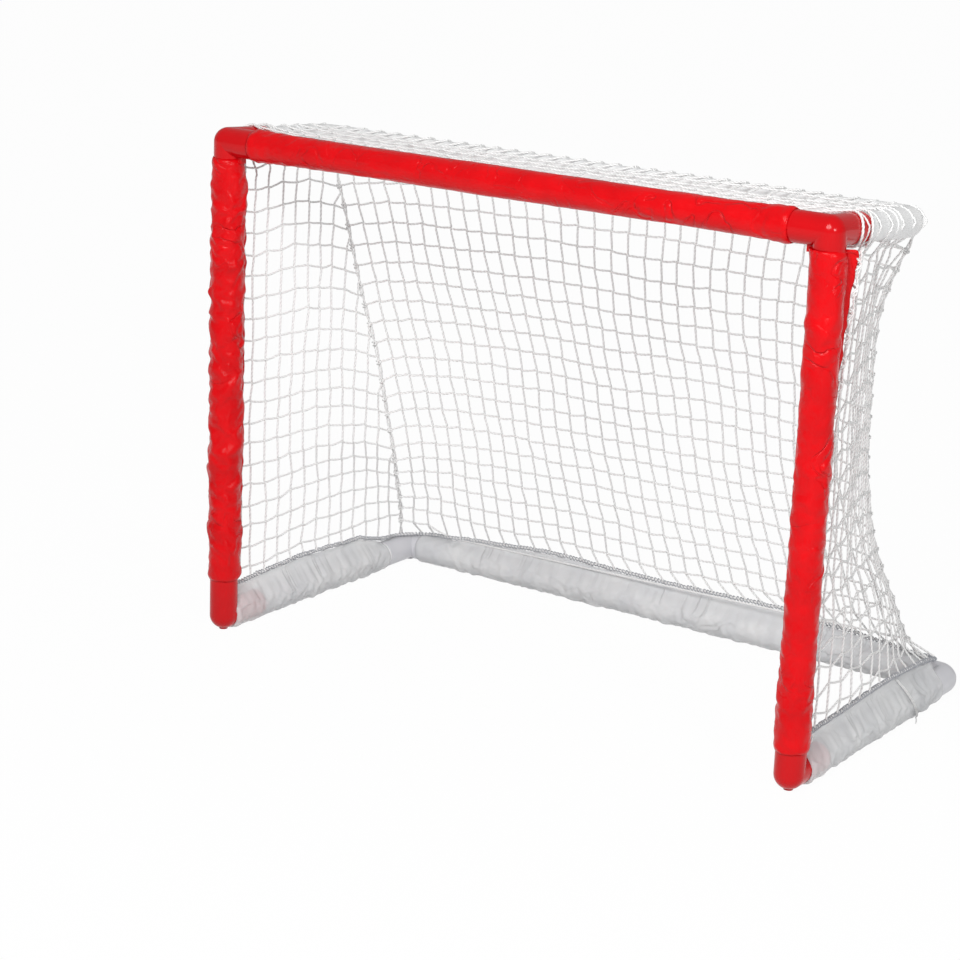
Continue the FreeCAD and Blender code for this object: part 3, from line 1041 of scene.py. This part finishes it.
# Each step down a side net is this many steps of the rear net along the seam.
seam_row_step = 1.084
arch_height, arch_loss, arch_peak = 0.015, 0.007, 0.67
# How sharply a row turns inward. The lowest rows stay straight for longer.
turn_power, low_turn_power, low_rows = 1.6, 4, 6
leave_reach = 0.007
edge_reach = 0.0315
hang_outside = 0.0015


def flap_line(side, height, reach=edge_reach):
    """A point on the selvedge that is sewn to a post's seam flap."""
    turned_height = min(max(height, 0.0), post_top)
    return Vector((side * half_width, front, height)) + post_flap(side, turned_height) * reach


def seam_share(row):
    """Where a side net's row meets the seam. The lowest rows spread to reach its foot."""
    return row_share(2 + seam_row_step * (side_rows - 1 - row)) if row else 1.0


def arch(row, share):
    """How far a row rises above the straight line between its ends."""
    up = row / side_rows
    height = (arch_height - arch_loss * up) * min(1.0, row / 4)
    return height * math.sin(math.pi * share ** (math.log(0.5) / math.log(arch_peak)))


def side_point(side, row, share, start, end):
    """share runs from the post's flap to the seam, measured from front to rear."""
    point = start.lerp(end, share)
    leave = math.exp(-(point.y - start.y) / leave_reach)
    outer = half_width + hang_outside
    inward = (outer - abs(end.x)) * share ** (turn_power + low_turn_power * max(0.0, 1 - row / low_rows))
    point.x = side * (outer - inward + (abs(start.x) - outer) * leave)
    point.z += arch(row, share) if row else 0.0
    return point


def column_shares(side, row, start, end):
    """Where the columns cross a row. Seen from the camera's side they are evenly spaced."""
    shares = np.linspace(0, 1, 101)
    points = [side_point(side, row, share, start, end) for share in shares]
    travel = np.maximum.accumulate([
        seen_across[1] * (p.y - front) + seen_across[0] * (half_width - abs(p.x)) for p in points])
    places = seen_across[1] * first_column + seen_step * np.arange(40)
    places = places[(places > travel[0] + 0.002) & (places < travel[-1] - 0.005)]
    return np.interp(places, travel, shares)


def weave_side(side, zigzag, seed):
    random = np.random.default_rng(seed)
    chains = []
    grid = {}
    for row in range(side_rows):
        start = flap_line(side, lowest_row + mesh_size * row)
        end = seams[side].at(seam_share(row))
        if row == 0:
            start.z = hem_at(side_hem[side], start.y - front)
        joints = [start]
        column = 1
        for share in column_shares(side, row, start, end):
            point = side_point(side, row, share, start, end)
            if row:
                point += wander(share, row / side_rows, 3.5 * side, 0.003)
                point.z += zigzag * (1 - 0.7 * share) * (-1) ** (row + column)
                point += shake(random, unevenness)
            else:
                point.x = side * (half_width - float(np.interp(point.y - front, *corner_bend)))
                point.z = hem_at(side_hem[side], point.y - front)
            joints.append(point)
            grid[row, column] = point
            column += 1
        joints.append(end)
        if row:
            kinks = random.uniform(*side_row_kink, len(joints))
            chains.append(chain(joints, kinks, Z_AXIS, slack))
    for column in range(1, max(c for _, c in grid) + 1):
        found = [row for row in range(side_rows) if (row, column) in grid]
        joints = [grid[row, column] for row in found]
        if found[-1] < side_rows - 1:
            joints.append(seams[side].at(seam_share(found[-1] + 0.8)))
        if len(joints) < 2:
            continue
        kinks = random.uniform(*column_kink, len(joints))
        points = chain(joints, kinks, Y_AXIS, no_sag)
        if found[-1] == side_rows - 1 and column <= top_cells:
            points += over_tube(side, hoop_depth(column))
        chains.append(points)
    return chains


def over_tube(side, depth):
    """The last points of a column, which climbs a top side tube from its outer side."""
    axis_height = tube_top(depth) - bar_wrap
    return [Vector((side * (half_width + bar_wrap * math.sin(a)), front + depth,
                    axis_height + bar_wrap * math.cos(a)))
            for a in np.radians([95, 60, 30, 0])]


for word, side in SIDES.items():
    make_cords(word + "_side_net_cords", weave_side(side, side_zigzag[side], side_seed + side),
               [word + "_side_net"], radius=cord_radius)

# %% [markdown]
# ## Lacing, selvedges and ties
#
# The net's edges are bound with thicker cord. The corner seams are two cords twisted loosely
# round each other, with a turn of the same cord at each mesh. At the posts a selvedge cord stands
# a little off the flap, and every row is sewn to the flap with a V of thread.

# %% Lacing along the corner seams
def twisted_pair(route, offset, pitch, count):
    """Two chains that wind round a route, half a turn apart."""
    pair = []
    for half in (0, math.pi):
        points = []
        for i in range(count + 1):
            share = i / count
            turn = share * route.length / pitch * 2 * math.pi + half
            points.append(route.at(share) + (X_AXIS * math.cos(turn) + Y_AXIS * math.sin(turn)) * offset)
        pair.append(points)
    return pair


def wrap_rings(route, shares, radius, tilt):
    """Small turns of cord round a route."""
    rings = []
    for share in shares:
        run = (route.at(min(share + 0.01, 1)) - route.at(max(share - 0.01, 0))).normalized()
        one = run.cross(X_AXIS).normalized()
        two = run.cross(one)
        rings.append([route.at(share) + (one * math.cos(a) + two * math.sin(a)) * radius
                      + run * tilt * (a / math.pi - 1) for a in np.linspace(0, 2.2 * math.pi, 12)])
    return rings


lace_radius, lace_offset, lace_pitch, lace_points = 0.0012, 0.0014, 0.05, 60
ring_radius, ring_tilt = 0.0028, 0.002
for word, side in SIDES.items():
    pair = twisted_pair(seams[side], lace_offset, lace_pitch, lace_points)
    rings = wrap_rings(seams[side], [row_share(row) for row in range(1, rear_rows)],
                       ring_radius, ring_tilt)
    if side > 0:
        foot = seams[side].at(1)
        tail = [foot, foot + Vector((0.006, -0.001, -0.003)), foot + Vector((0.0125, -0.002, -0.0045))]
        pair += twisted_pair(Route(tail), 0.001, 0.009, 24)
    make_cords(word + "_corner_laces", pair + rings, [word + "_corner_lacing"],
               radius=lace_radius, step=0.002)

# %% Selvedges of the posts, with a V of thread at each row
link_spread = 0.006
link_inset = 0.0045
selvedge_shake = 0.0005
selvedge_pull = 0.0009


def selvedge(side, low, high, random):
    """The cord bulges outward at each row, where the net pulls it."""
    points = []
    count = round((high - low) / (mesh_size / 4))
    for i in range(count + 1):
        height = low + (high - low) * i / count
        phase = (height - lowest_row) / mesh_size
        pull = math.cos(2 * math.pi * phase) * selvedge_pull
        points.append(flap_line(side, height, edge_reach + pull) + shake(random, selvedge_shake))
    return points


def row_links(side, low, high):
    """Two short threads from each row's knot to the flap's edge, above and below it."""
    links = []
    for row in range(1, side_rows):
        height = lowest_row + mesh_size * row
        if low + link_spread < height < high - link_spread:
            knot = flap_line(side, height, edge_reach + 0.001)
            above = flap_line(side, height + link_spread, edge_reach - link_inset)
            below = flap_line(side, height - link_spread, edge_reach - link_inset)
            links.append([above, knot, below])
    return links


for word, side in SIDES.items():
    random = np.random.default_rng(80 + side)
    low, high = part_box(word + "_post_edge_cord")
    chains = [selvedge(side, low[2], high[2], random)] + row_links(side, low[2], high[2])
    make_cords(word + "_flap_cord", chains, [word + "_post_edge_cord"], radius=0.0013)

# %% [markdown]
# At each top corner the crossbar's hem cord crosses the fitting and joins two loops round the
# fitting's bare red arm. The loops lean forward at the sides, because the side net pulls
# there, so from outside they look like an almond round a red patch.

# %% Hem cord of the crossbar and ties round the red arms
tie_radius = 0.0016
hem_shake = 0.0006
tie_loops = ((0.037, 0.0045), (0.058, 0.005))


def tie_loop(side, place, lean):
    """One loop of cord round the sloping rear arm of a top corner."""
    run = Vector((0, 1, top_slope)).normalized()
    up = X_AXIS.cross(run)
    centre = Vector((side * half_width, front, crossbar.z)) + run * place
    radius = arm_radius + tie_radius
    return [centre + (X_AXIS * math.sin(a) + up * math.cos(a)) * radius + run * lean * math.cos(2 * a)
            for a in np.linspace(0, 2 * math.pi, 33)]


def edge_run(side):
    """From the lower side of the second loop down to the top of the post's selvedge."""
    loop = tie_loop(side, *tie_loops[1])
    under = loop[len(loop) // 2 - 3 * side]
    top = flap_line(side, post_top)
    return [under, under.lerp(top, 0.5) + Vector((side * 0.001, 0.002, -0.002)), top,
            flap_line(side, post_top - 0.012)]


for word, side in SIDES.items():
    chains = [tie_loop(side, *place) for place in tie_loops] + [edge_run(side)]
    make_cords(word + "_arm_ties", chains, [word + "_corner_ties"], radius=tie_radius)

random = np.random.default_rng(90)
hem_points = [Vector((x, bar_hem.y, bar_hem.z)) + shake(random, hem_shake)
              for x in np.linspace(-bar_reach, bar_reach, 61)]
left_end, right_end = [tie_loop(side, *tie_loops[0])[0] for side in (-1, 1)]
second_cord = [point + Vector((0, 0.0022, 0.0006 + 0.0008 * (-1) ** i)) for i, point in enumerate(hem_points)]
make_cords("crossbar_flap_cord", [[left_end] + hem_points + [right_end], second_cord],
           ["crossbar_edge_cord"], radius=0.0015)

# %% [markdown]
# ## The hem at the base
#
# The net's bottom edge lies on top of the white sleeves' flaps as one long cord, whipped to
# the flap with grey thread. It runs back along one side, bends inward over the bare rear
# elbow, and goes on along the rear and forward again. The stitches are hundreds of leaning
# rings on one path, so a node tree places them.

# %% The whipping tree
def stitch_tree():
    sizes = {"Spacing": 0.0045, "Ring": 0.0026, "Thread": 0.00055, "Lean": 0.6, "Uneven": 0.25, "Seed": 3}
    tree, given = new_tree("whipped stitches", sizes)
    chain = add_node(tree, "GeometryNodeMeshToCurve", {"Mesh": given["Chains"]}).outputs["Curve"]
    places = add_node(tree, "GeometryNodeCurveToPoints",
                      {"Curve": chain, "Length": given["Spacing"]}, mode="LENGTH")
    ring = add_node(tree, "GeometryNodeCurveToMesh", {
        "Curve": circle(tree, 10, given["Ring"]), "Profile Curve": circle(tree, 5, given["Thread"])})

    low = maths(tree, "SUBTRACT", given["Lean"], given["Uneven"])
    high = maths(tree, "ADD", given["Lean"], given["Uneven"])
    lean = add_node(tree, "FunctionNodeRandomValue", {2: low, 3: high, "Seed": given["Seed"]},
                    data_type="FLOAT")
    turn = add_node(tree, "ShaderNodeCombineXYZ", {"X": lean.outputs[1]})
    leaning = add_node(tree, "FunctionNodeRotateRotation",
                       {"Rotation": places.outputs["Rotation"], "Rotate By": turn.outputs["Vector"]},
                       rotation_space="LOCAL")
    stitches = add_node(tree, "GeometryNodeInstanceOnPoints", {
        "Points": places.outputs["Points"], "Instance": ring.outputs["Mesh"],
        "Rotation": leaning.outputs["Rotation"]})
    return close_tree(tree, given, stitches.outputs["Instances"])


# %% Sew the hem
hem_radius = 0.0017
side_hem_end, rear_hem_end = 0.325, 0.344
side_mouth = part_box("right_base_sleeve")[0][1]
side_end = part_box("right_base_sleeve")[1][1]


def hem_line(random):
    """One path: back along the left side, across the rear and forward along the right."""
    def side_run(side, order):
        lengths = np.linspace(side_mouth, side_end, 56)[::order]
        return [Vector((side * half_width, y, hem_at(side_hem[side], y - front))) for y in lengths]

    def corner(side):
        before, after = hem_at(side_hem[side], side_hem_end), hem_at(rear_hem, rear_hem_end)
        bend = [Vector((side * (half_width - inward), front + depth, before + (after - before) * share))
                for depth, inward, share in zip(*corner_bend, (0.0, 0.25, 0.5, 0.75)) if share]
        return bend[::-side]

    across = [x for x in np.linspace(-rear_end, rear_end, 120) if abs(x) < rear_hem_end]
    rear = [Vector((x, rear_base.y, hem_at(rear_hem, abs(x)))) for x in across]
    line = side_run(-1, 1) + corner(-1) + rear + corner(1) + side_run(1, -1)
    return [point + shake(random, hem_shake) for point in line]


hem = hem_line(np.random.default_rng(97))
make_cords("hem_cord", [hem], radius=hem_radius)
whipping = run_tree(stitch_tree(), "hem_whipping", [hem], grey_thread)
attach(whipping, "root")

# %% [markdown]
# Each side sleeve is tied off near its rear end by a doubled drawcord, which comes down over
# the sleeve's outer side and ends in a short tail. At the right front mouth the end of the
# sleeve's own cord has curled up.

# %% Drawcords of the base sleeves, and the curled cord end at the right foot
strand_gap = 0.0012
# Each point: outward from the side tube's axis, back from the cord's lowest place, height.
drawcord_points = ((0.0006, -0.024, 0.0505), (0.0125, -0.019, 0.037), (0.0192, -0.011, 0.021),
                   (0.0186, -0.003, 0.0095), (0.0165, 0.001, 0.0045))
tail_points = ((0.004, -0.007, -0.001), (0.006, -0.013, -0.002))

for word, side in SIDES.items():
    foot_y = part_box(word + "_base_drawcord")[1][1]
    strands = [[Vector((side * (half_width + out), foot_y + y + gap, z)) for out, y, z in drawcord_points]
               for gap in (-strand_gap, strand_gap)]
    lowest = strands[0][-1]
    tail = [lowest] + [lowest + Vector((side * out, y, z)) for out, y, z in tail_points]
    make_cords(word + "_sleeve_drawcord", strands + [tail], [word + "_base_drawcord"], radius=0.0009)

tie = middle("right_foot_tie")
curl = [tie + Y_AXIS * 0.0055 * math.cos(a) + Z_AXIS * 0.0055 * math.sin(a) + X_AXIS * 0.0006 * a
        for a in np.linspace(-0.6, 2.4 * math.pi, 18)]
make_cords("right_cord_end", [curl], ["right_foot_tie"], radius=0.001)

# %% [markdown]
# ## Floor and light
#
# The goal stands on a plain pale floor. The floor looks white to the camera and in
# reflections, and keeps a faint shadow. The light is soft: a pale sky, one large lamp in front
# of the goal, and a small one further to the right that puts glints on the red nylon.

# %% Floor
floor_size = 30.0
floor_whiteness = 0.97
bpy.ops.mesh.primitive_plane_add(size=floor_size)
floor = bpy.context.object
floor.name = "floor"
floor_finish, floor_tree, floor_shader = new_finish("pale_floor")
mottled = shades(floor_tree, speckle(floor_tree, 3), (0.79, 0.79, 0.79), (0.81, 0.81, 0.81))
feed(floor_shader, {"Roughness": 0.9, "Base Color": mottled})
rays = add_node(floor_tree, "ShaderNodeLightPath").outputs
seen = maths(floor_tree, "MAXIMUM", rays["Is Camera Ray"], rays["Is Glossy Ray"])
seen = maths(floor_tree, "MAXIMUM", seen, rays["Is Transmission Ray"])
floor_mix = add_node(floor_tree, "ShaderNodeMixShader", {
    "Fac": maths(floor_tree, "MULTIPLY", seen, floor_whiteness),
    1: floor_shader.outputs["BSDF"],
    2: add_node(floor_tree, "ShaderNodeEmission").outputs["Emission"],
})
feed(floor_tree.nodes["Material Output"], {"Surface": floor_mix.outputs["Shader"]})
floor.data.materials.append(floor_finish)

# %% Sky
sky_strength = 0.40
world = bpy.data.worlds.new("studio")
bpy.context.scene.world = world
world.use_nodes = True
studio = world.node_tree
sky = feed(studio.nodes["Background"], {"Color": WHITE, "Strength": sky_strength})
backdrop = add_node(studio, "ShaderNodeBackground", {"Color": WHITE})
choice = add_node(studio, "ShaderNodeMixShader", {
    "Fac": add_node(studio, "ShaderNodeLightPath").outputs["Is Camera Ray"],
    1: sky.outputs[0],
    2: backdrop.outputs[0],
})
feed(studio.nodes["World Output"], {"Surface": choice.outputs[0]})

# %% Lamps
aim = Vector((0, 0, 0.3))


def add_lamp(name, azimuth, height, distance, size, watts):
    """A round lamp aimed at the goal, placed by its two angles in degrees."""
    across, up = math.radians(azimuth), math.radians(height)
    towards = Vector((math.sin(across) * math.cos(up), -math.cos(across) * math.cos(up), math.sin(up)))
    lamp = bpy.data.lights.new(name, "AREA")
    lamp.shape = "DISK"
    lamp.size = size
    lamp.energy = watts
    stand = bpy.data.objects.new(name, lamp)
    stand.location = aim + towards * distance
    stand.rotation_euler = towards.to_track_quat("Z", "Y").to_euler()
    bpy.context.scene.collection.objects.link(stand)


add_lamp("softbox", 18, 37, 2.6, 1.2, 43)
add_lamp("small lamp to the right", 58, 20, 3.0, 0.5, 20)
bpy.context.scene.view_settings.view_transform = "Standard"
